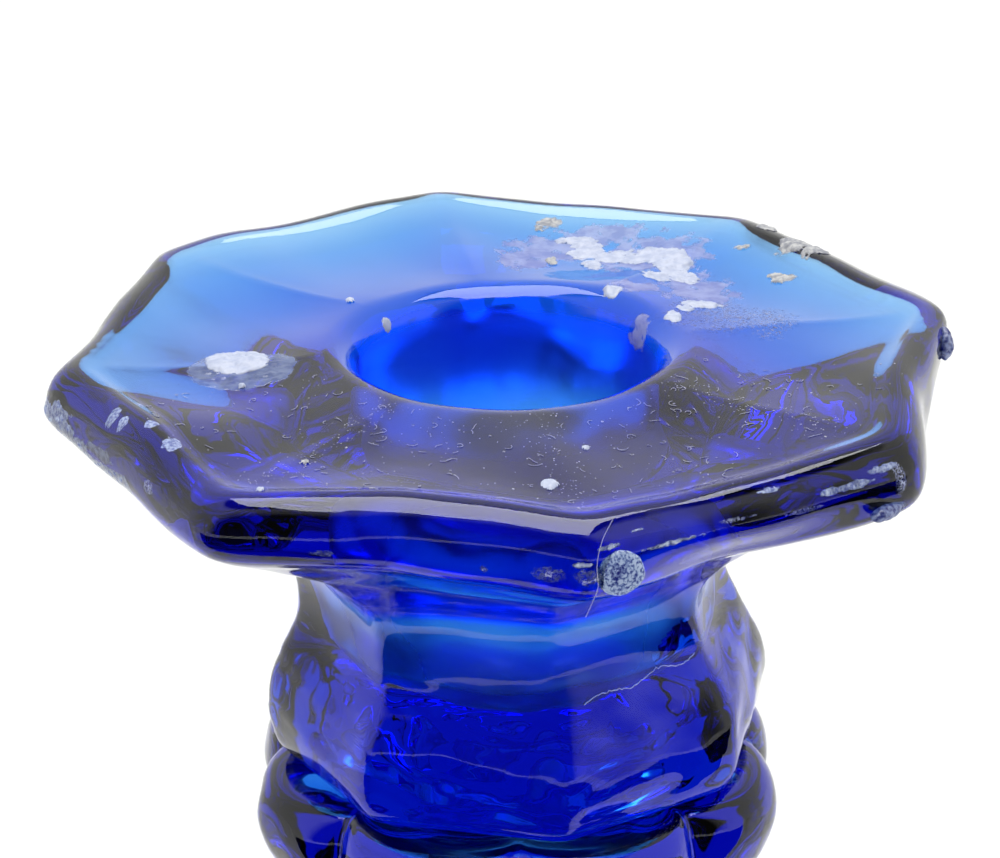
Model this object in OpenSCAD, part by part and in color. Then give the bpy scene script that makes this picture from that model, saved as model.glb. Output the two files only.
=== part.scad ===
// Pressed-glass candlestick: an eight-sided drip pan and candle socket, an eight-lobed
// knop on a baluster stem, and a spreading eight-sided foot. The three pressings are
// joined by two wafers of hot glass. Z is up and the origin is at the middle of the
// face that it stands on. Flats face along X and Y. All sizes are in millimetres.

/* [Overall] */
// Height from the table to the top of the drip pan
total_h = 195; // [180:1:215]

/* [Drip pan] */
// Width of the drip pan across its corners
pan_w = 74; // [70:1:78]
// Height of the upright rim of the pan
rim_h = 5.8; // [5:0.1:6.4]
// Depth of the hollow pressed into each of the eight facets of the pan
dish_depth = 1.1; // [0.8:0.1:2.2]

/* [Candle socket] */
// Diameter of the candle hole
bore_d = 24; // [22:0.5:25]
// Depth of the candle hole
bore_depth = 28; // [24:1:29]
// Width of the socket at its waist, across the corners
waist_w = 35.8; // [35:0.2:37]
// Width of the socket at its swelling, across the corners
swell_w = 42.8; // [41:0.2:44]

/* [Wafers] */
// Thickness of each wafer of joining glass
wafer_t = 1.6; // [1.4:0.1:2.4]
// Diameter of the wafer under the socket
upper_wafer_d = 31; // [28:0.5:33]
// Diameter of the wafer above the foot
lower_wafer_d = 31; // [29:0.5:34]

/* [Stem] */
// Width of the lobed knop, over its lobes
knop_w = 45.6; // [43:0.2:47]
// Radius of one lobe of the knop
lobe_r = 8.6; // [8.2:0.1:9]
// Turn of the knop against the flats of the socket, in degrees
knop_twist = -9.5; // [-22:0.5:22]
// Width of the ring bead below the knop, across the corners
bead_w = 29; // [27:0.5:31]
// Width of the baluster at its widest, across the corners
baluster_w = 31; // [28:0.5:33]
// Width of the collar above the foot, across the corners
collar_w = 33; // [31:0.5:35]

/* [Foot] */
// Width of the foot across its corners
foot_w = 100; // [94:1:106]
// Height of the foot, up to its wafer
foot_h = 44; // [40:1:46]
// Height of the upright edge of the foot
foot_rim_h = 7; // [6:0.2:8]
// Diameter of the hollow under the foot
hollow_d = 78; // [74:1:80]
// Height of the hollow under the foot
hollow_h = 28; // [24:1:30]

/* [Hidden] */

glass = [0.05, 0.14, 0.75];
wafer_glass = [0.08, 0.2, 0.85];
sides = 8;
side_angle = 360 / sides;
side_steps = 6;
round_fn = 96;
overlap = 0.5;

pan_r = pan_w / 2;
foot_r = foot_w / 2;
bore_r = bore_d / 2;
socket_h = 35;
socket_base_z = total_h - socket_h;
stem_top_z = socket_base_z - wafer_t;
stem_base_z = foot_h + wafer_t;

// Roll of the pan's rim, of the mouth's lip and of the foot's edge.
rim_roll = 1.6;
lip_roll = 1.3;
lip_land = 1.2;
foot_edge_roll = 2;
foot_heel_roll = 1;
bore_corner = 2;

// Height of the lobes' middles below the top of the stem, the core between the lobes,
// and the neck under the knop.
lobe_drop = 3.4;
knop_core_r = 15.2;
neck_h = 4;
neck_r = bead_w / 2 - 3.3;

// One point of the smooth curve from b to c, at the fraction t of the way.
function run_point(a, b, c, d, t) =
    0.5 * (2 * b + (c - a) * t + (2 * a - 5 * b + 4 * c - d) * t * t
        + (3 * b - a - 3 * c + d) * t * t * t);

// A smooth curve through the points p, with n steps between each two of them.
function smooth_run(p, n = 5) =
    let (last = len(p) - 1)
    [for (i = [0 : last - 1]) for (k = [0 : n - 1])
        run_point(p[max(i - 1, 0)], p[i], p[i + 1], p[min(i + 2, last)], k / n), p[last]];

// Points of an arc of radius r about c, from angle a0 to a1.
function arc(c, r, a0, a1, n = 5) =
    [for (k = [0 : n]) let (a = a0 + (a1 - a0) * k / n) c + r * [cos(a), sin(a)]];

// A solid with eight flat sides. x in the outline is the distance to a corner.
module eight_sided(outline) {
    rotate(side_angle / 2) rotate_extrude($fn = sides) polygon(outline);
}

module turned(outline) {
    rotate_extrude($fn = round_fn) polygon(outline);
}

// Distance from the axis to a flat-sided wall, at angle a from the middle of a side,
// as a share of the distance to its corner.
function wall_share(a) = cos(side_angle / 2) / cos(a);
// Angle from the middle of the nearest side, for step j round a ring of fine points.
function side_turn(j) = ((j % side_steps) / side_steps - 0.5) * side_angle;
function at_angle(r, a, z) = [r * cos(a), r * sin(a), z];
// Eight corner points of a flat-sided solid.
function corner_ring(r, z) =
    [for (k = [0 : sides - 1]) at_angle(r, (k - 0.5) * side_angle, z)];

// A closed skin over rings listed from the top outwards and down. The fine rings have
// side_steps points to a side and the rings below them have one, at each corner.
module lofted(fine_rings, corner_rings) {
    fine = sides * side_steps;
    first_corner = fine * len(fine_rings);
    last_fine = first_corner - fine;
    last_corner = first_corner + sides * (len(corner_rings) - 1);
    half = side_steps / 2;
    polyhedron(
        points = [for (ring = concat(fine_rings, corner_rings)) each ring],
        faces = concat(
            [[for (j = [fine - 1 : -1 : 0]) j]],
            [for (i = [0 : len(fine_rings) - 2]) for (j = [0 : fine - 1])
                each band(i * fine, (i + 1) * fine, j, fine)],
            [for (k = [0 : sides - 1]) each concat(
                [for (i = [0 : side_steps - 1]) [
                    last_fine + k * side_steps + i,
                    last_fine + (k * side_steps + i + 1) % fine,
                    first_corner + (i < half ? k : (k + 1) % sides)
                ]],
                [[
                    last_fine + k * side_steps + half,
                    first_corner + (k + 1) % sides,
                    first_corner + k
                ]]
            )],
            [for (i = [0 : len(corner_rings) - 2]) for (k = [0 : sides - 1])
                each band(first_corner + i * sides, first_corner + (i + 1) * sides, k, sides)],
            [[for (k = [0 : sides - 1]) last_corner + k]]
        )
    );
}

// Two triangles between an upper and a lower ring of n points, at step j.
function band(upper, lower, j, n) =
    let (next = (j + 1) % n)
    [[upper + j, upper + next, lower + next], [upper + j, lower + next, lower + j]];

// Outside of the socket below the rim's top edge: flare, waist and swelling.
function socket_profile() =
    let (
        rim_foot_z = total_h - rim_h,
        flare_r = 24.8,
        flare_z = total_h - 11.7,
        throat_r = 20.6,
        throat_z = total_h - 15,
        waist_r = waist_w / 2,
        waist_z = total_h - 20.6,
        swell_r = swell_w / 2,
        swell_z = total_h - 30.9,
        hip = 1.1
    )
    concat(
        arc([pan_r - rim_roll, total_h - rim_roll], rim_roll, 72, 0, 4),
        arc([pan_r - rim_roll, rim_foot_z + rim_roll], rim_roll, 0, -75, 4),
        smooth_run([
            [pan_r - 1.4 * rim_roll, rim_foot_z - 0.3 * rim_roll],
            [flare_r, flare_z],
            [throat_r, throat_z],
            [waist_r + 0.3, (throat_z + 1.5 * waist_z) / 2.5],
            [waist_r, waist_z],
            [(waist_r + swell_r) / 2 - 0.8, (waist_z + swell_z) / 2 + 1],
            [swell_r - 0.2, swell_z + hip],
            [swell_r - 0.1, swell_z - hip],
            [swell_r - 1.1 * hip, swell_z - 2.4 * hip],
            [swell_r - 3 * hip, socket_base_z]
        ], 3)
    );

// Depth of the hollow in a facet, at the share t of the way from mouth to rim.
function dish_drop(a, t) = dish_depth * cos(180 * a / side_angle) * sin(150 * t);

// Top of the pan: a round land at the mouth, a hollow in each facet, a raised rim.
function pan_top_rings(steps = 7) =
    let (
        land_r = bore_r + lip_roll + lip_land,
        rim_in_r = pan_r - 2 * rim_roll,
        rim_top_r = pan_r - rim_roll
    )
    concat(
        [for (i = [0 : steps]) [for (j = [0 : sides * side_steps - 1])
            let (a = side_turn(j), t = i / steps)
            at_angle(
                land_r + (rim_in_r * wall_share(a) - land_r) * t,
                (j / side_steps - 0.5) * side_angle,
                total_h - dish_drop(a, t)
            )
        ]],
        [for (t = [0.5, 1]) [for (j = [0 : sides * side_steps - 1])
            let (a = side_turn(j))
            at_angle(
                (rim_in_r + (rim_top_r - rim_in_r) * t) * wall_share(a),
                (j / side_steps - 0.5) * side_angle,
                total_h - dish_drop(a, 1) * (1 - t) * 0.5
            )
        ]]
    );

module candle_hole() {
    floor_z = total_h - bore_depth;
    lip_z = total_h - lip_roll;
    translate([0, 0, floor_z + bore_corner])
        cylinder(r = bore_r, h = bore_depth, $fn = round_fn);
    turned(concat(
        [[0, floor_z]],
        arc([bore_r - bore_corner, floor_z + bore_corner], bore_corner, -90, 0),
        [[0, floor_z + bore_corner]]
    ));
    turned(concat(
        [[0, lip_z]],
        arc([bore_r + lip_roll, lip_z], lip_roll, 180, 90),
        [[bore_r + lip_roll, total_h + overlap], [0, total_h + overlap]]
    ));
}

module socket() {
    color(glass) difference() {
        lofted(pan_top_rings(), [for (p = socket_profile()) corner_ring(p.x, p.y)]);
        candle_hole();
    }
}

// A pressed-out disc of joining glass with a round edge.
module wafer(d, z) {
    edge = wafer_t / 2;
    color(wafer_glass)
        translate([0, 0, z + edge])
            turned(concat(
                [[0, -edge]],
                arc([d / 2 - edge, 0], edge, -90, 90, 8),
                [[0, edge]]
            ));
}

module upper_wafer() {
    wafer(upper_wafer_d, stem_top_z);
}

module lower_wafer() {
    wafer(lower_wafer_d, foot_h);
}

// Outside of the knop at angle a from the middle of a lobe, at height h over the
// middles of the lobes. Between the lobes it falls to a round core.
function lobe_reach(a, h) =
    let (
        at_r = knop_w / 2 - lobe_r,
        level_r = sqrt(max(0, lobe_r * lobe_r - h * h)),
        off = at_r * sin(a)
    )
    max(knop_core_r, level_r > abs(off)
        ? at_r * cos(a) + sqrt(level_r * level_r - off * off) : 0);

// Rings down the knop, then down a neck that turns back in line with the socket.
function knop_rings(steps = 14, neck_steps = 4) =
    let (
        lobe_z = stem_top_z - lobe_drop,
        knop_h = lobe_drop + 0.97 * lobe_r
    )
    concat(
        [for (i = [0 : steps]) let (z = stem_top_z - knop_h * i / steps)
            [for (j = [0 : sides * side_steps - 1])
                let (a = side_turn(j), share = knop_taper(i / steps))
                at_angle(
                    lobe_reach(a, z - lobe_z) * share,
                    (j / side_steps - 0.5) * side_angle + knop_twist,
                    z
                )
            ]],
        [for (i = [1 : neck_steps])
            let (t = i / neck_steps, z = stem_top_z - knop_h - t * neck_h)
            [for (j = [0 : sides * side_steps - 1])
                let (a = side_turn(j), start_r = lobe_reach(a, z) * knop_taper(1))
                at_angle(
                    start_r * (1 - t) + neck_r * wall_share(a) * t,
                    (j / side_steps - 0.5) * side_angle + knop_twist * (1 - t),
                    z
                )
            ]]
    );
// The core draws in a little towards the neck.
function knop_taper(t) = 1 - 0.12 * t * t * t;

// The stem below the knop: neck, bead, baluster and collar.
function stem_profile() =
    let (
        lobe_share = 0.97,
        top_z = stem_top_z - lobe_drop - lobe_share * lobe_r - neck_h,
        bead_r = bead_w / 2,
        bead_z = top_z - 4.4,
        bead_half = 1.8,
        belly_r = baluster_w / 2,
        length = bead_z - stem_base_z,
        ankle_r = bead_r - 3.4,
        collar_r = collar_w / 2,
        collar_z = stem_base_z + 8
    )
    smooth_run([
        [neck_r, top_z - 0.8],
        [bead_r - 0.8, bead_z + bead_half],
        [bead_r, bead_z],
        [bead_r - 0.8, bead_z - bead_half],
        [neck_r, bead_z - 1.9 * bead_half],
        [neck_r - 0.4, bead_z - 6],
        [belly_r - 2.6, bead_z - length * 0.27],
        [belly_r, bead_z - length * 0.45],
        [belly_r - 1.6, bead_z - length * 0.61],
        [ankle_r + 0.2, bead_z - length * 0.77],
        [ankle_r, collar_z + 7],
        [collar_r - 3.2, collar_z + 3.6],
        [collar_r, collar_z],
        [collar_r - 2.6, collar_z - 4],
        [collar_r - 3.2, stem_base_z]
    ], 4);

module stem() {
    color(glass) lofted(knop_rings(), [for (p = stem_profile()) corner_ring(p.x, p.y)]);
}

// The foot, from its joint down over the spread and the step to the standing face.
function foot_outline() =
    let (
        joint_r = 14.2,
        spread_r = 26,
        spread_z = foot_h - 20.5,
        step_r = foot_r - 8.5,
        step_z = foot_h - 30.8,
        cove_z = foot_rim_h + 3.2
    )
    concat(
        [[0, foot_h]],
        smooth_run([
            [joint_r, foot_h],
            [joint_r + 0.8, foot_h - 4.5],
            [(joint_r + spread_r) / 2 - 1.6, foot_h - 12.5],
            [spread_r, spread_z],
            [(spread_r + step_r) / 2 + 0.8, (spread_z + step_z) / 2],
            [step_r - 1.2, step_z + 1.8],
            [step_r, step_z],
            [step_r + 0.8, cove_z],
            [foot_r - 3.4, foot_rim_h + 0.6]
        ]),
        arc([foot_r - foot_edge_roll, foot_rim_h - foot_edge_roll], foot_edge_roll, 75, 0),
        arc([foot_r - foot_heel_roll, foot_heel_roll], foot_heel_roll, 0, -90),
        [[0, 0]]
    );

// The domed hollow pressed into the foot from below.
module foot_hollow() {
    hollow_r = hollow_d / 2;
    turned(concat(
        [[0, -overlap], [hollow_r, -overlap]],
        smooth_run([
            [hollow_r, 0],
            [hollow_r - 1.5, hollow_h * 0.125],
            [hollow_r - 9, hollow_h * 0.3],
            [hollow_r / 2, hollow_h * 0.55],
            [hollow_r / 4, hollow_h * 0.9],
            [0, hollow_h]
        ])
    ));
}

module foot() {
    color(glass) difference() {
        eight_sided(foot_outline());
        foot_hollow();
    }
}

socket();
upper_wafer();
stem();
lower_wafer();
foot();
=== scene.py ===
import math

import bmesh
import bpy
import numpy as np
from mathutils import Matrix, Vector
from mathutils.bvhtree import BVHTree


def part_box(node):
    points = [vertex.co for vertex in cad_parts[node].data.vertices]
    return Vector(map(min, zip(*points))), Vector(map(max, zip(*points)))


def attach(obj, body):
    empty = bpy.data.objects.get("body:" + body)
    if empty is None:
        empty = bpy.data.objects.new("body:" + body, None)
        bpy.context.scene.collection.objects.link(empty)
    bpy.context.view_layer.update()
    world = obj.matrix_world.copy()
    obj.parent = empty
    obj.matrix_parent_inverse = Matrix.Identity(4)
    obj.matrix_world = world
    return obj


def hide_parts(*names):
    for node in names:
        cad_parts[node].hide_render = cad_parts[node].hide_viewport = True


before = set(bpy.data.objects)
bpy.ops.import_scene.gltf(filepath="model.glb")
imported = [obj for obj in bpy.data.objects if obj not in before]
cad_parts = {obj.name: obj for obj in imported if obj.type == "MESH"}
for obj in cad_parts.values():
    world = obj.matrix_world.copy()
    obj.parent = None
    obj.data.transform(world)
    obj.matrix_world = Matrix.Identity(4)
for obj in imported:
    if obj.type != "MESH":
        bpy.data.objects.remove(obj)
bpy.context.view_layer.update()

MM = 0.001
SIDES = 8
SIDE = math.tau / SIDES
PAN_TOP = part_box("socket")[1].z
SOCKET_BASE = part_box("socket")[0].z
STEM_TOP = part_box("stem")[1].z
STEM_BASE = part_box("stem")[0].z
FOOT_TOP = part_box("foot")[1].z
JOINT_GAP = 0.03 * MM
VIEW_TURN = math.radians(13.0)


# ---------------------------------------------------------------- shaping helpers

def smooth_run(points, gap):
    """Points of a smooth curve through the given ones, about gap apart."""
    pts = [np.array(p, float) for p in points]
    run = []
    for i in range(len(pts) - 1):
        a, b = pts[max(i - 1, 0)], pts[i]
        c, d = pts[i + 1], pts[min(i + 2, len(pts) - 1)]
        steps = max(1, int(round(np.linalg.norm(c - b) / gap)))
        for k in range(steps):
            t = k / steps
            run.append(0.5 * (2 * b + (c - a) * t + (2 * a - 5 * b + 4 * c - d) * t * t
                              + (3 * b - a - 3 * c + d) * t ** 3))
    run.append(pts[-1])
    return run


def lathe(name, profile, steps):
    """A closed turned shape from (radius, height) points in millimetres that start and
    end on the axis."""
    bm = bmesh.new()
    verts = [bm.verts.new((r * MM, 0, z * MM)) for r, z in profile]
    edges = [bm.edges.new(pair) for pair in zip(verts, verts[1:])]
    bmesh.ops.spin(bm, geom=verts + edges, cent=(0, 0, 0), axis=(0, 0, 1), dvec=(0, 0, 0),
                   angle=SIDE, steps=steps // SIDES, use_merge=False, use_duplicate=False)
    sector = bm.verts[:] + bm.edges[:] + bm.faces[:]
    for k in range(1, SIDES):
        copy = bmesh.ops.duplicate(bm, geom=sector)["geom"]
        bmesh.ops.rotate(bm, verts=[v for v in copy if isinstance(v, bmesh.types.BMVert)],
                         cent=(0, 0, 0), matrix=Matrix.Rotation(k * SIDE, 3, "Z"))
    bmesh.ops.remove_doubles(bm, verts=bm.verts, dist=0.002 * MM)
    bmesh.ops.recalc_face_normals(bm, faces=bm.faces)
    return make_piece(name, bm)


def make_piece(name, bm, smooth=True):
    mesh = bpy.data.meshes.new(name)
    bm.to_mesh(mesh)
    bm.free()
    for face in mesh.polygons:
        face.use_smooth = smooth
    piece = bpy.data.objects.new(name, mesh)
    bpy.context.scene.collection.objects.link(piece)
    return piece


def get_points(piece):
    co = np.zeros(len(piece.data.vertices) * 3)
    piece.data.vertices.foreach_get("co", co)
    return co.reshape(-1, 3)


def set_points(piece, co):
    piece.data.vertices.foreach_set("co", co.reshape(-1))
    piece.data.update()


def polar(co):
    return np.hypot(co[:, 0], co[:, 1]), np.arctan2(co[:, 1], co[:, 0]), co[:, 2]


def wall_share(a, sharpness):
    """Distance to a flat-sided wall at angle a, as a share of the corner distance.
    A lower sharpness gives rounder corners."""
    total = np.zeros_like(a)
    for k in range(SIDES):
        total += np.maximum(0, np.cos(a - k * SIDE)) ** sharpness
    return math.cos(SIDE / 2) * total ** (-1 / sharpness)


def side_turn(a):
    """Angle from the middle of the nearest side."""
    return (a + SIDE / 2) % SIDE - SIDE / 2


def smoothstep(low, high, x):
    t = np.clip((x - low) / (high - low), 0, 1)
    return t * t * (3 - 2 * t)


def ripple(co, size, seed, octaves=3):
    """Smooth random waves of about unit height, with the given size in metres."""
    rng = np.random.default_rng(seed)
    out = np.zeros(len(co))
    gain = 1.0
    for _ in range(octaves):
        for _ in range(6):
            d = rng.normal(size=3)
            d *= math.tau / (size * np.linalg.norm(d))
            out += gain * np.sin(co @ d + rng.uniform(0, math.tau)) / 6 ** 0.5
        size *= 0.5
        gain *= 0.5
    return out


# ---------------------------------------------------------------- materials

def new_material(name):
    mat = bpy.data.materials.new(name)
    mat.use_nodes = True
    nodes = mat.node_tree.nodes
    nodes.clear()
    out = nodes.new("ShaderNodeOutputMaterial")
    return mat, nodes, mat.node_tree.links, out


def noise(nodes, links, coord, scale, detail=3.0, roughness=0.5, distortion=0.0):
    tex = nodes.new("ShaderNodeTexNoise")
    tex.inputs["Scale"].default_value = scale
    tex.inputs["Detail"].default_value = detail
    tex.inputs["Roughness"].default_value = roughness
    tex.inputs["Distortion"].default_value = distortion
    links.new(coord, tex.inputs["Vector"])
    return tex.outputs["Fac"]


def ramp(nodes, links, fac, stops):
    node = nodes.new("ShaderNodeValToRGB")
    node.color_ramp.elements[0].position = stops[0][0]
    node.color_ramp.elements[0].color = stops[0][1]
    node.color_ramp.elements[1].position = stops[-1][0]
    node.color_ramp.elements[1].color = stops[-1][1]
    for pos, col in stops[1:-1]:
        e = node.color_ramp.elements.new(pos)
        e.color = col
    links.new(fac, node.inputs["Fac"])
    return node.outputs["Color"]


def grey(v):
    return (v, v, v, 1)


GLASS_IOR = 1.5
GLASS_TINT = (0.0, 0.567, 0.936)
TINT_DENSITY = 330.0


def blue_glass():
    mat, nodes, links, out = new_material("blue_glass")
    coord = nodes.new("ShaderNodeTexCoord").outputs["Object"]
    body = nodes.new("ShaderNodeBsdfPrincipled")
    body.inputs["Base Color"].default_value = (0.96, 0.975, 1.0, 1)
    body.inputs["Transmission Weight"].default_value = 1.0
    body.inputs["IOR"].default_value = GLASS_IOR
    wear = noise(nodes, links, coord, 260.0, 5.0, 0.6)
    polish = ramp(nodes, links, wear, [(0.45, grey(0.0)), (0.8, grey(0.02))])
    frost = nodes.new("ShaderNodeAttribute")
    frost.attribute_name = "frost"
    rough = nodes.new("ShaderNodeMath")
    rough.operation = "ADD"
    links.new(polish, rough.inputs[0])
    links.new(frost.outputs["Fac"], rough.inputs[1])
    links.new(rough.outputs["Value"], body.inputs["Roughness"])
    swirl = noise(nodes, links, coord, 170.0, 2.0, 0.5, 0.6)
    bump = nodes.new("ShaderNodeBump")
    bump.inputs["Strength"].default_value = 0.1
    bump.inputs["Distance"].default_value = 0.0004
    links.new(swirl, bump.inputs["Height"])
    links.new(bump.outputs["Normal"], body.inputs["Normal"])
    links.new(body.outputs["BSDF"], out.inputs["Surface"])
    depth = nodes.new("ShaderNodeVolumeAbsorption")
    depth.inputs["Color"].default_value = (*GLASS_TINT, 1)
    depth.inputs["Density"].default_value = TINT_DENSITY
    links.new(depth.outputs["Volume"], out.inputs["Volume"])
    return mat


GLASS = blue_glass()


def finish_glass(piece, node):
    piece.data.materials.append(GLASS)
    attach(piece, "root")
    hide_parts(node)


# ---------------------------------------------------------------- drip pan and socket

# Radii and heights here are in millimetres, and heights are from the pan's top.
BORE_R = 12.0
HOLE_BOTTOM = -29
SOCKET_H = (PAN_TOP - SOCKET_BASE) / MM
RIM_IN_R = 33.2
LAND_R = 13.8
PAN_SHARPNESS = 64
DISH_FRONT = 0.55
DISH_BACK = 1.15
DISH_ARC = math.radians(168)
RIDGE_SAG = 0.3
BACK_RIM_Z = [-8.5, -6.7, -5.8, -4.7, -3.5, -2.2, -1.1, -0.35, -0.02]
BACK_RIM_PUSH = [-0.1, -0.6, -0.9, -0.7, -0.35, 0.1, 0.65, 1.0, 0.7]
BACK_RIM_FROM_TO = [-5, 28, 150, 178]
LEAN = 0.7
FIRST_CORNER = -1.5 * SIDE
# The hand-finished edge. A bend has its place and reach round the rim in degrees, then its
# push outwards and its lift in millimetres and its turn in degrees.
EDGE_BENDS = [
    (-78, 45, -0.75, 0.0, -0.4),
    (-50, 36, 0.0, -0.95, -0.3),
    (-22, 25, 0.45, 0.0, 1.0),
    (0, 24, -0.55, 0.3, 0.3),
    (72, 32, -0.75, 0.0, 0.0),
    (112, 24, 0.35, 0.1, 0.0),
    (142, 45, 0.0, 0.45, 0.4),
    (180, 110, 0.35, 0.0, 0.0),
    (225, 50, 0.0, 0.0, -1.3),
    (247, 24, 0.35, -0.85, 0.0),
]
# What the bends of the rim's lower edge add to those.
LOWER_BENDS = [
    (-45, 24, -2.35, -0.3, 0.0),
    (0, 24, 0.5, -0.5, 0.0),
    (40, 35, -0.6, 0.0, 0.0),
    (135, 60, -0.3, -0.15, 0.0),
    (202, 30, 0.3, 1.0, 0.0),
    (250, 36, 0.0, 0.95, 0.0),
]
EDGE_SPREAD = 0.55
EDGE_RISE = 0.15


def pan_profile():
    outside = smooth_run([
        (0, -SOCKET_H), (8, -SOCKET_H), (15.8, -SOCKET_H), (16.6, -SOCKET_H - 0.25),
        (17.6, -SOCKET_H - 0.7), (18.8, -SOCKET_H - 0.65), (19.9, -SOCKET_H - 0.05),
        (20.7, -34.4), (21.2, -32.4), (21.3, -30.4),
        (20.9, -28.2), (20.0, -26.2), (19.0, -24.4), (18.3, -22.6), (18.0, -21.0),
        (18.0, -19.6), (18.4, -18.0), (19.4, -16.3), (20.7, -15.0), (22.0, -13.8),
        (24.8, -11.7), (29.0, -9.5), (32.4, -7.7), (34.4, -6.7), (35.7, -5.8),
        (36.3, -4.7), (36.4, -3.5), (36.25, -2.2), (35.75, -1.1), (34.9, -0.35),
        (33.9, -0.02), (33.0, -0.05), (31.8, -0.25), (26.0, -0.3), (20.0, -0.3),
        (14.8, -0.25), (13.6, -0.5), (12.8, -0.95), (12.35, -1.7), (12.1, -2.7),
        (12.0, -5.0),
        (12.0, -15.0), (12.0, -24.0), (11.7, -26.0), (10.6, -27.4), (8.6, -28.0),
        (4.0, -28.1), (0, -28.1)
    ], 0.5)
    return [(max(0, r), z) for r, z in outside]


def bent(a, bends, column):
    """The pushes (column 0), lifts (1) or turns (2) of the bends, summed at the angles a."""
    total = np.zeros_like(a)
    for at, reach, *amounts in bends:
        off = np.degrees(np.abs(np.angle(np.exp(1j * (a - math.radians(at))))))
        total += amounts[column] * 0.5 * (1 + np.cos(math.pi * np.clip(off / reach, 0, 1)))
    return total


def hand_finish(new_r, a, new_z, r, z):
    """The warp of the reheated edge: push, lift and turn, growing towards the rim."""
    reach = smoothstep(14, 34, r) * smoothstep(-16, -7, z)
    low = smoothstep(-2.5, -5.5, z)
    push, lift, turn = [bent(a, EDGE_BENDS, column) + low * bent(a, LOWER_BENDS, column)
                        for column in range(3)]
    return (new_r + (push + EDGE_SPREAD) * reach, a + np.radians(turn) * reach,
            new_z + (lift + EDGE_RISE) * reach)


def shape_pan(piece):
    co = get_points(piece)
    r, a, z = polar(co)
    r, z = r / MM, z / MM
    mouth = (r < LAND_R) & (z > HOLE_BOTTOM)
    outer = np.where(mouth, 0.0, 1.0)
    top = (z > -0.6) & (r > BORE_R + 0.6)
    outer = np.where(top, smoothstep(LAND_R, RIM_IN_R, r), outer)
    # The base is round inside and flat-sided at its edge.
    outer = np.where(z < -SOCKET_H + 0.1, smoothstep(2.0, 14.0, r), outer)
    share = wall_share(a, PAN_SHARPNESS)
    new_r = r * (1 + (share - 1) * outer)
    # Hollows pressed into the facets of the top, and the sag of the ridges between.
    turn = side_turn(a)
    t = np.clip((r - LAND_R) / (RIM_IN_R - LAND_R), 0, 1)
    across = np.abs(np.cos(math.pi * turn / SIDE)) ** 0.8
    dish = np.interp(np.sin(a - VIEW_TURN), [-1, 1], [DISH_FRONT, DISH_BACK])
    drop = dish * np.sin(t * DISH_ARC) * across
    drop += RIDGE_SAG * np.sin(t * math.pi) * (1 - across)
    rim_fade = 1 - smoothstep(RIM_IN_R - 1.2, RIM_IN_R + 0.6, r)
    new_z = z - np.where(top, drop * rim_fade, 0)
    # The rim rolls over tightly and is undercut at the back, and is full in front.
    at_rim = smoothstep(29, 33, r) * np.interp(np.degrees(a), BACK_RIM_FROM_TO, [0, 1, 1, 0])
    new_r += np.interp(z, BACK_RIM_Z, BACK_RIM_PUSH) * at_rim
    new_r, a, new_z = hand_finish(new_r, a, new_z, r, z)
    co = np.stack([new_r * np.cos(a), new_r * np.sin(a), new_z], 1) * MM
    # Fire-polished waves.
    wave = ripple(co, 16 * MM, 3, 2) * 0.10 * MM
    keep = smoothstep(-SOCKET_H, -SOCKET_H + 2, z) * np.where(r > 1, 1, 0)
    edge = smoothstep(30, 34, r)
    fine = ripple(co, 10 * MM, 11, 1) * 0.045 * MM * edge
    radial = np.stack([np.cos(a), np.sin(a), np.zeros_like(a)], 1)
    side_part = np.where(top, 0.3, 1.0) * keep
    low = smoothstep(-20, -26, z) * smoothstep(14, 17, r)
    bands = ripple(co * np.array([0.45, 0.45, 1.6]), 8 * MM, 61, 3) * 0.13 * MM * low
    co += radial * ((wave + fine) * side_part + bands * keep)[:, None]
    co[:, 2] += (ripple(co, 15 * MM, 5, 2) * 0.10 * MM + fine) * keep
    co[:, 2] += base_lumps(co, r, z)
    co += lean(z, -17, -27)
    co[:, 2] += PAN_TOP
    set_points(piece, co)


def lean(z, start, end):
    """The socket and knop stand a little to one side of the pan."""
    way = np.array([math.cos(VIEW_TURN), math.sin(VIEW_TURN), 0])
    return LEAN * MM * smoothstep(start, end, z)[:, None] * way


def base_lumps(co, r, z):
    """Hot glass sags where the socket meets the wafer: hollows in the socket's base and
    waves in the floor of the hole."""
    ringed = np.stack([co[:, 0] * 0.6, co[:, 1] * 0.6, r * MM * 1.8], 1)
    lumps = 0.5 + 0.5 * ripple(ringed, 7 * MM, 51, 3)
    base = np.where(z < -SOCKET_H + 0.1, smoothstep(15.5, 12.0, r), 0)
    floor = np.where((z > HOLE_BOTTOM) & (z < -26.5) & (r < BORE_R), smoothstep(11.5, 9.0, r), 0)
    return (np.clip(lumps, 0, 2) * 0.7 * base + (lumps - 0.5) * 0.8 * floor) * MM


def add_frost(piece, values):
    """How rough the glass is at each point, over its fire polish."""
    layer = piece.data.attributes.new("frost", "FLOAT", "POINT")
    layer.data.foreach_set("value", values)


# The far side of the hole's wall and its lower part are rubbed rougher than the rest.
BORE_FROST = 0.2
WORN_FROST = 0.18
STEPS_ROUND = 36 * SIDES

pan = lathe("pan_and_socket", pan_profile(), STEPS_ROUND)
shape_pan(pan)
pan_r, pan_a, pan_z = polar(get_points(pan))
pan_depth = (PAN_TOP - pan_z) / MM
in_bore = (pan_r / MM < BORE_R + 0.5) & (pan_depth < 30)
far_side = smoothstep(-0.5, 0.35, np.sin(pan_a - VIEW_TURN))
worn = np.maximum(far_side, smoothstep(12.0, 17.0, pan_depth))
bore_frost = (BORE_FROST + WORN_FROST * worn) * smoothstep(1.0, 3.0, pan_depth)
add_frost(pan, np.where(in_bore, bore_frost, 0.0))
finish_glass(pan, "socket")


# ---------------------------------------------------------------- lobed knop and stem

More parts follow.
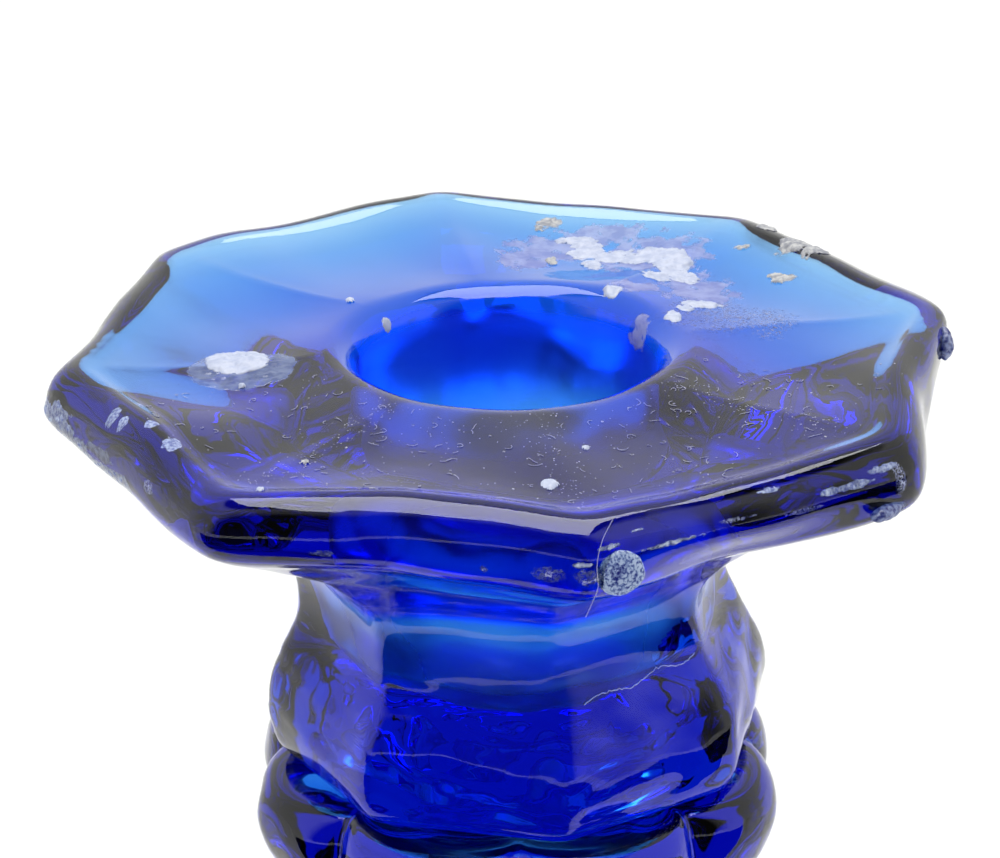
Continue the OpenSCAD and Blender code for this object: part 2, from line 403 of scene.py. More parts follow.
KNOP_TWIST = math.radians(-9.5)
GROOVE_DEPTH = 0.12
STEM_SHARPNESS = 60
STEM_H = (STEM_TOP - STEM_BASE) / MM


def stem_profile():
    return [(max(0, r), z) for r, z in smooth_run([
        (0, 0), (10, 0), (15.8, 0), (17.0, 0.3), (18.5, 0.65), (20.0, 0.7), (21.2, 0.3),
        (22.1, -0.8), (22.5, -2.2), (22.6, -3.6), (22.2, -5.4), (21.3, -7.4), (19.6, -9.4),
        (16.8, -11.4), (13.4, -13.2), (11.6, -15.0), (11.9, -16.4), (13.7, -17.6),
        (14.4, -18.8), (14.3, -20.4), (13.2, -21.7), (11.4, -22.6), (10.9, -24.5),
        (11.0, -28.0), (12.2, -40.0), (14.2, -52.0), (15.4, -61.0), (15.3, -68.0),
        (14.0, -77.0), (12.2, -86.0), (11.2, -93.0), (11.6, -98.0), (13.3, -101.2),
        (15.6, -103.2), (16.5, -105.0), (15.9, -107.2), (14.3, -109.2),
        (13.4, -STEM_H + 1.0), (13.0, -STEM_H + 0.15), (12.0, -STEM_H), (6, -STEM_H),
        (0, -STEM_H)
    ], 0.7)]


def shape_stem(piece):
    co = get_points(piece)
    r, a, z = polar(co)
    r, z = r / MM, z / MM
    lobed = smoothstep(-16, -11, z)
    turned = a - KNOP_TWIST * lobed
    turn = side_turn(turned)
    groove = 1 - GROOVE_DEPTH * (1 - np.abs(np.cos(math.pi * turn / SIDE)) ** 0.6)
    lobe_depth = smoothstep(12.5, 19, r) * lobed
    flat = wall_share(a, STEM_SHARPNESS)
    share = flat * (1 - lobed) + (1 + (groove - 1) * lobe_depth) * lobed
    inner = smoothstep(2, 10, r)
    new_r = r * (1 + (share - 1) * inner)
    co = np.stack([new_r * np.cos(a), new_r * np.sin(a), z], 1) * MM
    keep = smoothstep(0, -1.5, z) * smoothstep(-STEM_H, -STEM_H + 1.5, z)
    radial = np.stack([np.cos(a), np.sin(a), np.zeros_like(a)], 1)
    co += radial * (ripple(co, 13 * MM, 21) * 0.13 * MM * keep)[:, None]
    co += 0.5 * lean(z, -STEM_H, -30)
    co[:, 2] += STEM_TOP
    set_points(piece, co)


stem = lathe("lobed_stem", stem_profile(), STEPS_ROUND)
shape_stem(stem)
finish_glass(stem, "stem")


# ---------------------------------------------------------------- wafers

def wafer(name, node):
    low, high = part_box(node)
    r = (high.x - low.x) / 2 / MM
    half = (high.z - low.z - 2 * JOINT_GAP) / 2 / MM
    profile = smooth_run([
        (0, half), (r * 0.5, half), (r - half * 1.3, half), (r - half * 0.4, half * 0.75),
        (r, 0), (r - half * 0.4, -half * 0.75), (r - half * 1.3, -half), (r * 0.5, -half),
        (0, -half)
    ], 0.3)
    piece = lathe(name, [(max(0, x), z) for x, z in profile], 128)
    co = get_points(piece)
    edge = smoothstep(0.6 * r, r, np.hypot(co[:, 0], co[:, 1]) / MM)
    squeeze = 1 - 0.03 * edge * (0.5 + 0.5 * ripple(co, 18 * MM, 31, 2))
    co[:, 0] *= squeeze
    co[:, 1] *= squeeze
    co[:, 2] += (low.z + high.z) / 2
    set_points(piece, co)
    finish_glass(piece, node)


wafer("upper_join", "upper_wafer")
wafer("lower_join", "lower_wafer")


# ---------------------------------------------------------------- foot

FOOT_H = FOOT_TOP / MM
FOOT_SHARPNESS = 70
HOLLOW_Z = [0, 3.5, 8.6, 15.4, 20.4, 25, 28.1]
HOLLOW_R = [39.9, 37.6, 30.2, 19.8, 14.8, 9.8, 0.5]


def foot_profile():
    return [(max(0, r), z) for r, z in smooth_run([
        (0, FOOT_H), (8, FOOT_H), (13, FOOT_H), (14.2, FOOT_H - 0.3),
        (14.6, FOOT_H - 1.5), (15.0, FOOT_H - 4.5), (16.4, FOOT_H - 9),
        (18.5, FOOT_H - 12.5), (21.8, FOOT_H - 16.6), (26.0, FOOT_H - 20.5),
        (30.4, FOOT_H - 23.6), (35.0, FOOT_H - 26.0), (38.6, FOOT_H - 27.6),
        (40.7, FOOT_H - 29.0), (41.5, FOOT_H - 30.8), (41.8, FOOT_H - 32.4),
        (42.6, 9.2), (44.2, 8.1), (46.6, 7.5), (48.2, 7.0), (49.4, 5.9), (49.95, 4.4),
        (50.0, 2.6), (49.8, 1.0), (49.2, 0.25), (48.2, 0.0), (44, 0.0), (40.2, 0.0),
        (39.4, 0.3), (38.8, 1.2), (37.5, 3.5), (34.6, 6.4), (30, 8.6), (24.6, 11.4),
        (19.6, 15.4), (14.6, 20.4), (9.6, 25.0), (5, 27.4), (0, 28)
    ], 0.6)]


def shape_foot(piece):
    co = get_points(piece)
    r, a, z = polar(co)
    r, z = r / MM, z / MM
    inside = (r < np.interp(z, HOLLOW_Z, HOLLOW_R) + 0.9) & (z < HOLLOW_Z[-1] + 0.2)
    outer = np.where(inside, 0.0, 1.0)
    under = z < 0.15
    outer = np.where(under, smoothstep(40, 48, r), outer)
    outer = np.where(z > FOOT_H - 0.1, smoothstep(2, 12, r), outer)
    share = wall_share(a, FOOT_SHARPNESS)
    new_r = r * (1 + (share - 1) * outer)
    co = np.stack([new_r * np.cos(a), new_r * np.sin(a), z], 1) * MM
    keep = smoothstep(0.2, 2.5, z) * smoothstep(FOOT_H, FOOT_H - 1.5, z)
    radial = np.stack([np.cos(a), np.sin(a), np.zeros_like(a)], 1)
    co += radial * (ripple(co, 16 * MM, 41) * 0.14 * MM * keep)[:, None]
    co[:, 2] += ripple(co, 13 * MM, 43) * 0.12 * MM * keep
    co[:, 2] = np.maximum(co[:, 2], 0.0)
    set_points(piece, co)


foot = lathe("spread_foot", foot_profile(), STEPS_ROUND)
shape_foot(foot)
finish_glass(foot, "foot")


# ---------------------------------------------------------------- details

ACROSS = Vector((math.cos(VIEW_TURN), math.sin(VIEW_TURN), 0))
AWAY = Vector((-math.sin(VIEW_TURN), math.cos(VIEW_TURN), 0))
RIM_ARC = 35.0


def glass_surface():
    bm = bmesh.new()
    bm.from_mesh(pan.data)
    tree = BVHTree.FromBMesh(bm)
    bm.free()
    return tree


PAN_SURFACE = glass_surface()


def from_above(across, back):
    """The point of the pan's top at millimetres across and back from its middle."""
    start = ACROSS * (across * MM) + AWAY * (back * MM) + Vector((0, 0, PAN_TOP + 5 * MM))
    return PAN_SURFACE.ray_cast(start, Vector((0, 0, -1)))[:2]


def from_outside(angle):
    """The same for the side near an angle, at millimetres round from it and in height."""
    def find(along, height):
        a = math.radians(angle) + along / RIM_ARC
        out = Vector((math.cos(a), math.sin(a), 0))
        start = out * (60 * MM) + Vector((0, 0, PAN_TOP + height * MM))
        return PAN_SURFACE.ray_cast(start, -out)[:2]
    return find


def from_axis(angle):
    """The same for the wall of the candle hole, looking out from its axis."""
    def find(along, height):
        a = math.radians(angle) + along / BORE_R
        out = Vector((math.cos(a), math.sin(a), 0))
        start = Vector((0, 0, PAN_TOP + height * MM))
        return PAN_SURFACE.ray_cast(start, out, (BORE_R + 1.5) * MM)[:2]
    return find


def laid_patch(bm, find, blobs, thick, seed, cell=0.14, rag=0.3, sink=0.04, hole=None):
    """Add a crust that follows the glass. Each blob is its middle and half lengths, and a
    hole in it is given the same way; rag roughens the outline."""
    layer = bm.verts.layers.float.get("cover") or bm.verts.layers.float.new("cover")
    b = np.array(blobs, float)
    low = (b[:, :2] - b[:, 2:]).min(axis=0) - 0.5
    size = (b[:, :2] + b[:, 2:]).max(axis=0) + 0.5 - low
    steps = np.maximum(2, np.ceil(size / cell)).astype(int)
    verts = bmesh.ops.create_grid(bm, x_segments=int(steps[0]), y_segments=int(steps[1]),
                                  size=0.5)["verts"]
    at = (np.array([v.co[:] for v in verts])[:, :2] + 0.5) * size + low
    flat = np.column_stack([at, np.zeros(len(at))]) * MM
    ragged = rag * (ripple(flat, 2.2 * MM, seed, 3) + 0.5 * ripple(flat, 0.6 * MM, seed + 1, 2))
    far = [((at[:, 0] - u) / hu) ** 2 + ((at[:, 1] - v) / hv) ** 2 for u, v, hu, hv in blobs]
    cover = 1 - np.min(far, axis=0) + ragged
    if hole:
        gap = ((at[:, 0] - hole[0]) / hole[2]) ** 2 + ((at[:, 1] - hole[1]) / hole[3]) ** 2
        cover = np.minimum(cover, gap - 1 + ragged)
    swell = thick * (1 - np.exp(-3 * np.maximum(cover, 0)))
    swell *= 0.8 + 0.2 * ripple(flat, 0.9 * MM, seed + 2, 2)
    spare = []
    for v, (along, over), share, rise in zip(verts, at, cover, swell):
        spot, normal = find(along, over) if share > -0.3 else (None, None)
        if spot is None:
            spare.append(v)
            continue
        v.co = spot + normal * ((rise - sink) * MM)
        v[layer] = share
    bmesh.ops.delete(bm, geom=spare, context="VERTS")


def multiply(nodes, links, a, b):
    node = nodes.new("ShaderNodeMath")
    node.operation = "MULTIPLY"
    for socket, value in zip(node.inputs, (a, b)):
        if isinstance(value, float):
            socket.default_value = value
        else:
            links.new(value, socket)
    return node.outputs["Value"]


def crust(name, dark, light, grain, solid=1.0, pinholes=None, edge=0.25, gloss=0.75):
    """Dry wax, film, frost or grime: two tones mixed in grains of a size in millimetres,
    thinning to its edge, with pinholes between two levels of a finer grain."""
    mat, nodes, links, out = new_material(name)
    coord = nodes.new("ShaderNodeTexCoord").outputs["Object"]
    body = nodes.new("ShaderNodeBsdfPrincipled")
    tone = noise(nodes, links, coord, 1 / (grain * MM), 4.0, 0.6)
    links.new(ramp(nodes, links, tone, [(0.4, (*dark, 1)), (0.6, (*light, 1))]),
              body.inputs["Base Color"])
    cover = nodes.new("ShaderNodeAttribute")
    cover.attribute_name = "cover"
    alpha = ramp(nodes, links, cover.outputs["Fac"], [(0.0, grey(0)), (edge, grey(1))])
    if pinholes:
        fine = noise(nodes, links, coord, 1 / (0.45 * grain * MM), 3.0, 0.6)
        sieve = ramp(nodes, links, fine, [(pinholes[0], grey(0)), (pinholes[1], grey(1))])
        alpha = multiply(nodes, links, alpha, sieve)
    links.new(multiply(nodes, links, alpha, solid), body.inputs["Alpha"])
    links.new(ramp(nodes, links, tone, [(0.3, grey(gloss - 0.15)), (0.7, grey(gloss))]),
              body.inputs["Roughness"])
    bump = nodes.new("ShaderNodeBump")
    bump.inputs["Strength"].default_value = 0.3
    bump.inputs["Distance"].default_value = 0.1 * MM
    links.new(tone, bump.inputs["Height"])
    links.new(bump.outputs["Normal"], body.inputs["Normal"])
    links.new(body.outputs["BSDF"], out.inputs["Surface"])
    return mat


def finish_detail(piece, mat):
    piece.data.materials.append(mat)
    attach(piece, "root")


def patches(name, mat, find, groups, thick, seed, **shape):
    """One piece made of several patches, each a list of blobs."""
    bm = bmesh.new()
    bm.verts.layers.float.new("cover")
    for k, blobs in enumerate(groups):
        laid_patch(bm, find, blobs, thick, seed + 5 * k, **shape)
    finish_detail(make_piece(name, bm), mat)


WAX = crust("white_wax", (0.50, 0.56, 0.76), (0.64, 0.69, 0.86), 1.0, edge=0.15, gloss=0.5)
OLD_WAX = crust("old_wax", (0.30, 0.31, 0.36), (0.62, 0.62, 0.62), 0.5)
FILM = crust("wax_film", (0.26, 0.27, 0.56), (0.44, 0.46, 0.72), 1.6, solid=0.72, edge=0.5)
GRIME = crust("grime", (0.10, 0.09, 0.14), (0.42, 0.40, 0.48), 0.5, solid=0.75,
              pinholes=(0.5, 0.6), edge=0.9)
FROST = crust("frosted_glass", (0.13, 0.17, 0.48), (0.52, 0.60, 0.80), 0.26, edge=0.2)
THIN_FROST = crust("thin_frost", (0.20, 0.22, 0.50), (0.55, 0.60, 0.80), 0.3, solid=0.9,
                   pinholes=(0.42, 0.55), edge=0.3)
GLAZE = crust("glaze_drop", (0.13, 0.18, 0.42), (0.24, 0.31, 0.56), 1.2, solid=0.7,
              edge=0.08, gloss=0.2)

patches("candle_wax", WAX, from_above, [
    [(7.1, 23.6, 1.6, 2.5), (7.3, 20.4, 0.9, 1.9), (9.4, 22.2, 2.4, 1.5),
     (12.2, 21.6, 2.9, 1.7), (14.3, 19.2, 1.7, 2.7), (15.0, 16.4, 1.4, 1.5),
     (12.9, 15.9, 1.3, 1.2), (6.0, 26.0, 1.9, 0.6)],
    [(16.0, 9.2, 1.6, 0.9), (14.7, 7.8, 0.8, 0.7), (13.5, 5.6, 0.7, 1.4)],
    [(8.7, 11.0, 0.85, 0.9)], [(3.0, -27.1, 0.62, 0.85)],
    [(5.8, -20.3, 0.38, 0.5)], [(-13.0, 9.6, 0.4, 0.5)], [(-18.0, -27.9, 0.3, 0.35)],
    [(-20.8, -7.2, 0.32, 0.35)]],
    0.35, 101)
patches("wax_crumbs", OLD_WAX, from_above, [
    [(3.9, 29.5, 1.2, 0.9), (3.0, 28.5, 0.7, 0.6)], [(3.9, 21.0, 0.5, 1.0)],
    [(20.6, 21.8, 0.9, 0.5)], [(23.4, 15.2, 1.1, 0.8), (22.7, 15.9, 0.7, 0.5)],
    [(24.8, 21.0, 1.9, 1.5), (26.4, 19.2, 1.2, 1.2)], [(22.8, 25.0, 0.9, 0.9)],
    [(-15.1, -22.0, 0.3, 0.4)]],
    0.3, 151, rag=0.4)
patches("frost_discs", FROST, from_above, [
    [(-25.1, -20.1, 0.8, 1.0)], [(-26.8, -17.4, 0.6, 0.7)], [(-30.0, -14.4, 0.7, 0.7)],
    [(-29.2, -15.9, 0.5, 0.6)], [(-28.2, -13.0, 0.4, 0.5)]], 0.04, 159, cell=0.1)
patches("wax_film", FILM, from_above, [
    [(4.2, 24.2, 4.6, 3.3), (12.4, 21.5, 5.4, 4.4), (1.6, 21.3, 2.6, 3.4),
     (16.2, 13.2, 3.4, 4.2), (10.9, 12.4, 2.2, 1.6), (8.6, 26.6, 4.2, 2.0)]],
    0.03, 171, rag=0.35, sink=0.01, cell=0.2)
patches("wax_in_hole", FILM, from_axis(41.0), [[(0, -2.2, 1.2, 1.3), (0.4, -1.2, 0.9, 0.6)]],
        0.04, 176, rag=0.45, sink=0.01)
patches("wax_fleck_in_hole", WAX, from_axis(157.0), [[(0, -1.5, 0.5, 0.6)]], 0.15, 179, rag=0.4)
patches("grime_specks", GRIME, from_above, [
    [(17.4, 6.0, 4.8, 5.0), (20.8, 5.5, 3.0, 4.6)]],
    0.02, 181, sink=0.005, cell=0.3)
patches("glaze_drop", GLAZE, from_above, [[(-21.0, -4.2, 4.4, 3.6)]], 0.25, 191, rag=0.06)
# The pale patch over the upper part of the glaze drop is a painted highlight: wax-white colour
# standing in for the light reflected by the glossy drop.
patches("painted_highlight_on_drop", WAX, from_above, [[(-21.5, -3.0, 2.7, 2.3)]], 0.45, 195, rag=0.07,
        sink=-0.1)


def side_patches(name, mat, spots, thick, seed, **shape):
    """Patches on the pan's side, each at an angle and height with its half lengths."""
    bm = bmesh.new()
    bm.verts.layers.float.new("cover")
    for k, (angle, height, along, over) in enumerate(spots):
        laid_patch(bm, from_outside(angle), [(0, height, along, over)], thick, seed + 5 * k,
                   **shape)
    finish_detail(make_piece(name, bm), mat)


side_patches("frost_streaks", FROST, [
    (-68.9, -3.3, 0.8, 0.2), (-65.4, -2.3, 0.75, 0.2), (-61.7, -1.7, 0.65, 0.14),
    (-56.0, -3.1, 2.8, 0.22), (-31.4, -2.3, 2.4, 0.3), (-26.9, -1.7, 1.6, 0.25),
    (-42.3, -1.3, 1.0, 0.15)], 0.06, 201, cell=0.1, rag=0.35)
side_patches("thin_frost", THIN_FROST, [
    (-72.4, -4.2, 1.2, 0.7), (-68.6, -4.4, 1.1, 0.7), (-100.1, -3.9, 1.0, 0.3),
    (-80.2, -4.2, 0.4, 0.35), (-127.5, -2.9, 0.7, 0.5), (-48.0, -2.6, 1.6, 0.2),
    (-38.0, -3.2, 1.8, 0.2), (-24.5, -3.0, 0.5, 1.4)], 0.05, 231, rag=0.3)


def blister_material():
    """Crazed pale skin over dark glass, darkest at the middle of the blister."""
    mat, nodes, links, out = new_material("crazed_skin")
    coord = nodes.new("ShaderNodeTexCoord").outputs["Object"]
    body = nodes.new("ShaderNodeBsdfPrincipled")
    grains = noise(nodes, links, coord, 1 / (0.24 * MM), 3.0, 0.65, 0.4)
    away = nodes.new("ShaderNodeVectorMath")
    away.operation = "DISTANCE"
    away.inputs[1].default_value = BLISTER_EYE
    links.new(coord, away.inputs[0])
    ring = nodes.new("ShaderNodeMapRange")
    ring.inputs["From Min"].default_value = 0.15 * MM
    ring.inputs["From Max"].default_value = 0.8 * MM
    ring.inputs["To Min"].default_value = -0.2
    ring.inputs["To Max"].default_value = 0.0
    links.new(away.outputs["Value"], ring.inputs["Value"])
    both = nodes.new("ShaderNodeMath")
    links.new(grains, both.inputs[0])
    links.new(ring.outputs["Result"], both.inputs[1])
    links.new(ramp(nodes, links, both.outputs["Value"], [
        (0.34, (0.012, 0.016, 0.22, 1)), (0.46, (0.16, 0.24, 0.55, 1)),
        (0.55, (0.46, 0.57, 0.80, 1))]), body.inputs["Base Color"])
    links.new(ramp(nodes, links, grains, [(0.4, grey(0.2)), (0.6, grey(0.6))]),
              body.inputs["Roughness"])
    bump = nodes.new("ShaderNodeBump")
    bump.inputs["Strength"].default_value = 0.4
    bump.inputs["Distance"].default_value = 0.08 * MM
    links.new(grains, bump.inputs["Height"])
    links.new(bump.outputs["Normal"], body.inputs["Normal"])
    links.new(body.outputs["BSDF"], out.inputs["Surface"])
    return mat


def rim_lump(name, mat, angle, height, size, seed, wave=0.08):
    """A rounded lump on the pan's side; size is its half lengths round the rim, outwards
    and in height, in millimetres."""
    spot, _ = from_outside(angle)(0, height)
    bm = bmesh.new()
    bm.verts.layers.float.new("cover")
    bmesh.ops.create_icosphere(bm, subdivisions=5, radius=1.0)
    turn = Matrix.Rotation(math.radians(angle), 3, "Z")
    scale = Matrix.Diagonal((size[1] * MM, size[0] * MM, size[2] * MM))
    bmesh.ops.transform(bm, matrix=(turn @ scale).to_4x4(), verts=bm.verts)
    bmesh.ops.translate(bm, vec=spot, verts=bm.verts)
    piece = make_piece(name, bm)
    co = get_points(piece)
    grow = 1 + wave * ripple(co, 1.6 * MM, seed, 3)
    middle = np.array(spot[:])
    set_points(piece, middle + (co - middle) * grow[:, None])
    piece.data.attributes["cover"].data.foreach_set("value", np.ones(len(co)))
    finish_detail(piece, mat)


BLISTER_AT = (-64.2, -4.4)
BLISTER_EYE = from_outside(BLISTER_AT[0])(-0.3, BLISTER_AT[1] + 0.3)[0]
rim_lump("rim_blister", blister_material(), *BLISTER_AT, (1.8, 0.55, 1.75), 301, 0.02)
DARK_SKIN = crust("dark_skin", (0.03, 0.04, 0.20), (0.24, 0.29, 0.52), 0.4, gloss=0.4)
rim_lump("side_lump", DARK_SKIN, 18.0, -2.1, (1.2, 0.7, 1.3), 311)
rim_lump("corner_lump", DARK_SKIN, -25.7, -5.2, (1.9, 0.8, 0.6), 321)
patches("left_frost", FROST, from_outside(-144.0), [
    [(-6.0, -3.4, 3.0, 1.5), (0, -4.3, 4.0, 1.1), (4.5, -4.6, 2.6, 0.9)]],
    0.05, 331, cell=0.12, hole=(1.2, -3.3, 2.6, 0.75))
patches("left_dent", DARK_SKIN, from_outside(-144.0), [[(1.2, -3.3, 2.4, 0.55)]], 0.04, 341,
        cell=0.12)


# Half of the dust lies along the ridges of the front, and half is spread between them.

DUST_COUNT = 800
LINT_COUNT = 150
DUST = crust("dust", (0.34, 0.34, 0.48), (0.70, 0.70, 0.82), 0.4)
rng = np.random.default_rng(7)


def dust_specks(count):
    bm = bmesh.new()
    bm.verts.layers.float.new("cover")
    for k in range(count):
        reach = rng.uniform(15, 32)
        if k % 2:
            angle = FIRST_CORNER + SIDE * rng.integers(-1, 2) + rng.normal(0, 0.9) / reach
        else:
            angle = rng.uniform(-2.7, 0.1)
        size = rng.uniform(0.04, 0.085) * (1.6 if k % 17 == 0 else 1)
        start = Vector((reach * MM * math.cos(angle), reach * MM * math.sin(angle),
                        PAN_TOP + 5 * MM))
        spot = PAN_SURFACE.ray_cast(start, Vector((0, 0, -1)))[0]
        if spot is None:
            continue
        place = Matrix.Translation(spot) @ Matrix.Rotation(rng.uniform(0, 3), 4, "Z")
        flat = Matrix.Diagonal((1.0, rng.uniform(0.5, 1.0), 0.5, 1.0))
        bmesh.ops.create_icosphere(bm, subdivisions=1, radius=size * MM, matrix=place @ flat)
    piece = make_piece("dust_specks", bm)
    piece.data.attributes["cover"].data.foreach_set("value", np.ones(len(piece.data.vertices)))
    finish_detail(piece, DUST)


def thread_material():
    mat, nodes, links, out = new_material("lint")
    coord = nodes.new("ShaderNodeTexCoord").outputs["Object"]
    body = nodes.new("ShaderNodeBsdfPrincipled")
    tone = noise(nodes, links, coord, 900.0, 3.0)
    stops = [(0.3, (0.42, 0.42, 0.60, 1)), (0.7, (0.72, 0.72, 0.86, 1))]
    links.new(ramp(nodes, links, tone, stops), body.inputs["Base Color"])
    body.inputs["Roughness"].default_value = 0.6
    links.new(body.outputs["BSDF"], out.inputs["Surface"])
    return mat


LINT = thread_material()


def threads(name, runs, thickness):
    """Fine threads through lists of points, as one piece."""
    data = bpy.data.curves.new(name, "CURVE")
    data.dimensions = "3D"
    data.bevel_depth = thickness * MM
    data.bevel_resolution = 1
    for run in runs:
        line = data.splines.new("POLY")
        line.points.add(len(run) - 1)
        for point, spot in zip(line.points, run):
            point.co = (*spot, 1)
    piece = bpy.data.objects.new(name, data)
    bpy.context.scene.collection.objects.link(piece)
    finish_detail(piece, LINT)


def lint_runs(count):
    runs = []
    for _ in range(count):
        reach, angle = rng.uniform(16, 31), rng.uniform(-2.6, 0.0)
        at = np.array([reach * math.cos(angle), reach * math.sin(angle)])
        way = rng.uniform(0, math.tau)
        curl = rng.normal(0, 0.3)
        run = []
        for _ in range(int(rng.integers(6, 14))):
            start = Vector((at[0] * MM, at[1] * MM, PAN_TOP + 5 * MM))
            spot = PAN_SURFACE.ray_cast(start, Vector((0, 0, -1)))[0]
            if spot is None:
                break
            run.append(spot + Vector((0, 0, 0.05 * MM)))
            at = at + 0.1 * np.array([math.cos(way), math.sin(way)])
            way += curl + rng.normal(0, 0.15)
        if len(run) > 3:
            runs.append(run)
    return runs


dust_specks(DUST_COUNT)
threads("lint", lint_runs(LINT_COUNT), 0.02)
HAIR = [(14.7, -31.2, -0.6), (14.2, -32.4, -1.7), (14.0, -33.3, -3.2), (14.1, -33.4, -4.9),
        (13.7, -33.2, -6.1), (13.1, -32.9, -7.6)]
threads("stray_hair", [[Vector(p) * MM + Vector((0, 0, PAN_TOP))
                        for p in smooth_run(HAIR, 0.3)]], 0.022)


SCRATCH_FROM = -59.0
SCRATCH_TO = -24.0
SCRATCH_STEPS = 46


def wall_scratch():
    """The pale flaw that runs up across the socket's waist."""
    run = []
    for k in range(SCRATCH_STEPS + 1):
        t = k / SCRATCH_STEPS
        height = -23.9 + 1.0 * t + 0.25 * math.sin(9 * t + 4 * t * t)
        angle = SCRATCH_FROM + (SCRATCH_TO - SCRATCH_FROM) * t
        spot, normal = from_outside(angle)(0, height)
        run.append(spot + normal * (0.02 * MM) + Vector((0, 0, rng.normal(0, 0.07) * MM)))
    return run


threads("wall_scratch", [wall_scratch()], 0.045)


# ---------------------------------------------------------------- floor, light, camera

# The walls end between these sines of height, and the dark in front begins between
# these nearnesses to straight ahead.
WALL_TOP = (0.82, 0.86)
FRONT_EDGE = (0.35, 0.6)
DARK_LEVEL = 0.04
BOX_LEVEL = 6.5
BOX_SIZE = (0.75, 0.85)
BOX_ABOVE_PAN = 0.8
FILL_LEVEL = 2.05
FLAG_SIZE = (1.2, 0.75)
FLAG_GAP = 0.09
FLOOR_R = 6.0
CAMERA_RISE = math.radians(21.5)
CAMERA_ROLL = math.radians(-0.6)
CAMERA_REACH = 0.26
CAMERA_LENS = 116.64
# The camera aims a little to the left of the middle of the pan's top, and below it.
AIM_ACROSS = -0.6 * MM
AIM_DOWN = 7.28 * MM


def floor_and_light():
    bm = bmesh.new()
    bmesh.ops.create_circle(bm, cap_ends=True, segments=96, radius=FLOOR_R)
    floor = make_piece("floor", bm, smooth=False)
    mat, nodes, links, out = new_material("pale_floor")
    body = nodes.new("ShaderNodeBsdfPrincipled")
    coord = nodes.new("ShaderNodeTexCoord").outputs["Object"]
    tone = noise(nodes, links, coord, 1.2, 2.0)
    stops = [(0.3, (0.93, 0.93, 0.91, 1)), (0.7, (0.95, 0.95, 0.94, 1))]
    links.new(ramp(nodes, links, tone, stops), body.inputs["Base Color"])
    body.inputs["Roughness"].default_value = 0.9
    body.inputs["Specular IOR Level"].default_value = 0.1
    links.new(body.outputs["BSDF"], out.inputs["Surface"])
    floor.data.materials.append(mat)

    studio_walls()
    overhead_box()
    floor_fill()
    front_flag()


def studio_walls():
    """Pale walls to a little above the camera's height, dark above and dark in front."""
    world = bpy.data.worlds.new("studio")
    world.use_nodes = True
    nodes, links = world.node_tree.nodes, world.node_tree.links
    sky = nodes["Background"]
    way = nodes.new("ShaderNodeTexCoord").outputs["Generated"]
    split = nodes.new("ShaderNodeSeparateXYZ")
    links.new(way, split.inputs["Vector"])
    height = nodes.new("ShaderNodeMapRange")
    height.inputs["From Min"].default_value = WALL_TOP[0]
    height.inputs["From Max"].default_value = WALL_TOP[1]
    height.inputs["To Min"].default_value = 1.0
    height.inputs["To Max"].default_value = DARK_LEVEL
    links.new(split.outputs["Z"], height.inputs["Value"])
    dot = nodes.new("ShaderNodeVectorMath")
    dot.operation = "DOT_PRODUCT"
    dot.inputs[1].default_value = -AWAY
    links.new(way, dot.inputs[0])
    front = nodes.new("ShaderNodeMapRange")
    front.inputs["From Min"].default_value = FRONT_EDGE[0]
    front.inputs["From Max"].default_value = FRONT_EDGE[1]
    front.inputs["To Min"].default_value = 1.0
    front.inputs["To Max"].default_value = DARK_LEVEL
    links.new(dot.outputs["Value"], front.inputs["Value"])
    both = nodes.new("ShaderNodeMath")
    both.operation = "MULTIPLY"
    links.new(height.outputs["Result"], both.inputs[0])
    links.new(front.outputs["Result"], both.inputs[1])
    links.new(both.outputs["Value"], sky.inputs["Strength"])
    sky.inputs["Color"].default_value = (0.985, 0.99, 0.975, 1)
    bpy.context.scene.world = world


def place_light(name, kind, energy, place, turn=(0, 0, 0)):
    data = bpy.data.lights.new(name, kind)
    data.energy = energy
    lamp = bpy.data.objects.new(name, data)
    lamp.location = place
    lamp.rotation_euler = turn
    bpy.context.scene.collection.objects.link(lamp)
    return lamp


def overhead_box():
    energy = BOX_LEVEL * math.pi * BOX_SIZE[0] * BOX_SIZE[1]
    lamp = place_light("overhead_box", "AREA", energy, (0, 0, PAN_TOP + BOX_ABOVE_PAN),
                       (0, 0, VIEW_TURN))
    lamp.data.shape = "RECTANGLE"
    lamp.data.size, lamp.data.size_y = BOX_SIZE
    lamp.visible_camera = False
    lamp.visible_diffuse = False


def floor_fill():
    lamp = place_light("floor_fill", "SUN", FILL_LEVEL, (0, 0, 2))
    lamp.data.angle = math.radians(70)
    lamp.visible_glossy = False
    lamp.visible_transmission = False


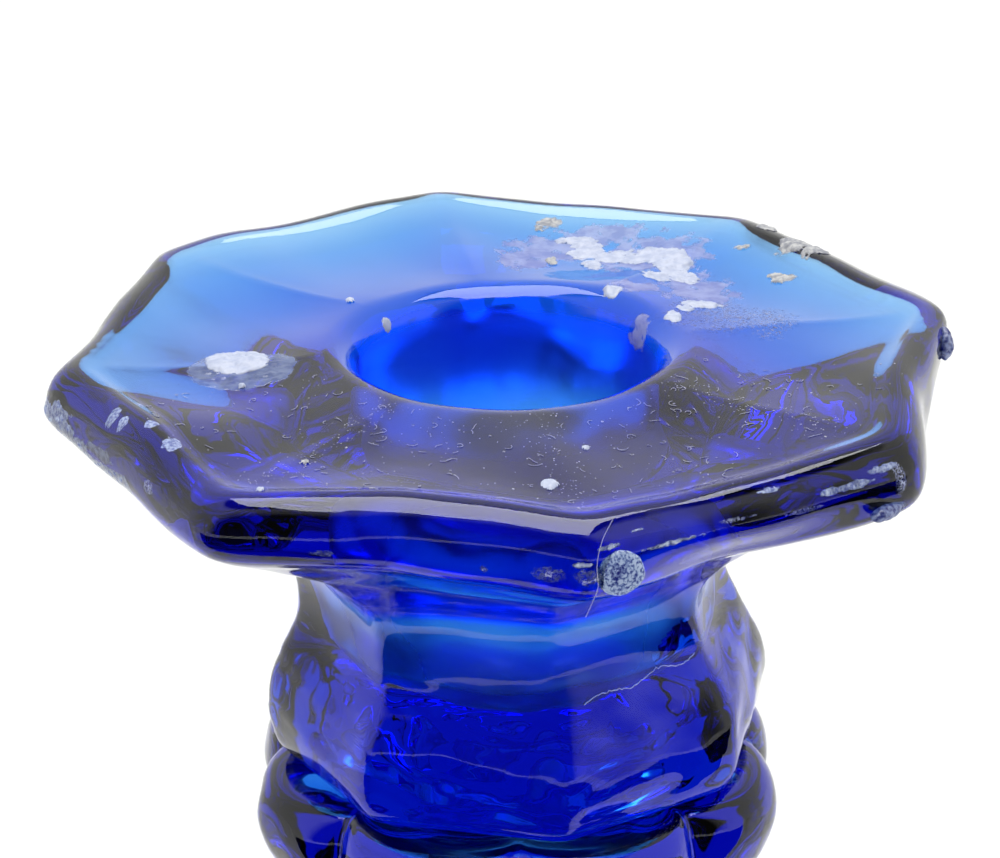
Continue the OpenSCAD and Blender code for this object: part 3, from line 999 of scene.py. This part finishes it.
def front_flag():
    """A dark card on the floor in front, which only the glass sees."""
    bm = bmesh.new()
    bmesh.ops.create_grid(bm, x_segments=1, y_segments=1, size=1.0)
    bmesh.ops.scale(bm, vec=(*FLAG_SIZE, 1), verts=bm.verts)
    bmesh.ops.translate(bm, vec=(0, -FLAG_SIZE[1] - FLAG_GAP, 0.002), verts=bm.verts)
    bmesh.ops.rotate(bm, verts=bm.verts, cent=(0, 0, 0),
                     matrix=Matrix.Rotation(VIEW_TURN, 3, "Z"))
    flag = make_piece("front_flag", bm, smooth=False)
    mat, nodes, links, out = new_material("black_cloth")
    body = nodes.new("ShaderNodeBsdfPrincipled")
    body.inputs["Base Color"].default_value = (0.012, 0.012, 0.014, 1)
    body.inputs["Roughness"].default_value = 1.0
    body.inputs["Specular IOR Level"].default_value = 0.0
    links.new(body.outputs["BSDF"], out.inputs["Surface"])
    flag.data.materials.append(mat)
    flag.visible_camera = False
    flag.visible_diffuse = False
    flag.visible_shadow = False


def camera():
    back = Vector((0, 0, math.sin(CAMERA_RISE))) - AWAY * math.cos(CAMERA_RISE)
    up = back.cross(ACROSS)
    across = ACROSS * math.cos(CAMERA_ROLL) + up * math.sin(CAMERA_ROLL)
    upward = up * math.cos(CAMERA_ROLL) - ACROSS * math.sin(CAMERA_ROLL)
    ahead = (across * AIM_ACROSS - upward * AIM_DOWN - back * CAMERA_REACH).normalized()
    side = (across - ahead * across.dot(ahead)).normalized()
    top = side.cross(ahead)
    data = bpy.data.cameras.new("camera")
    data.sensor_width = 36.0
    data.lens = CAMERA_LENS
    data.clip_start = 0.01
    data.clip_end = 50
    cam = bpy.data.objects.new("camera", data)
    bpy.context.scene.collection.objects.link(cam)
    place = Vector((0, 0, PAN_TOP)) + back * CAMERA_REACH
    cam.matrix_world = Matrix((
        (side.x, top.x, -ahead.x, place.x),
        (side.y, top.y, -ahead.y, place.y),
        (side.z, top.z, -ahead.z, place.z),
        (0, 0, 0, 1)))
    bpy.context.scene.camera = cam


floor_and_light()
camera()
scene = bpy.context.scene
scene.view_settings.view_transform = "Standard"
scene.cycles.max_bounces = 24
scene.cycles.transmission_bounces = 24
scene.cycles.transparent_max_bounces = 16
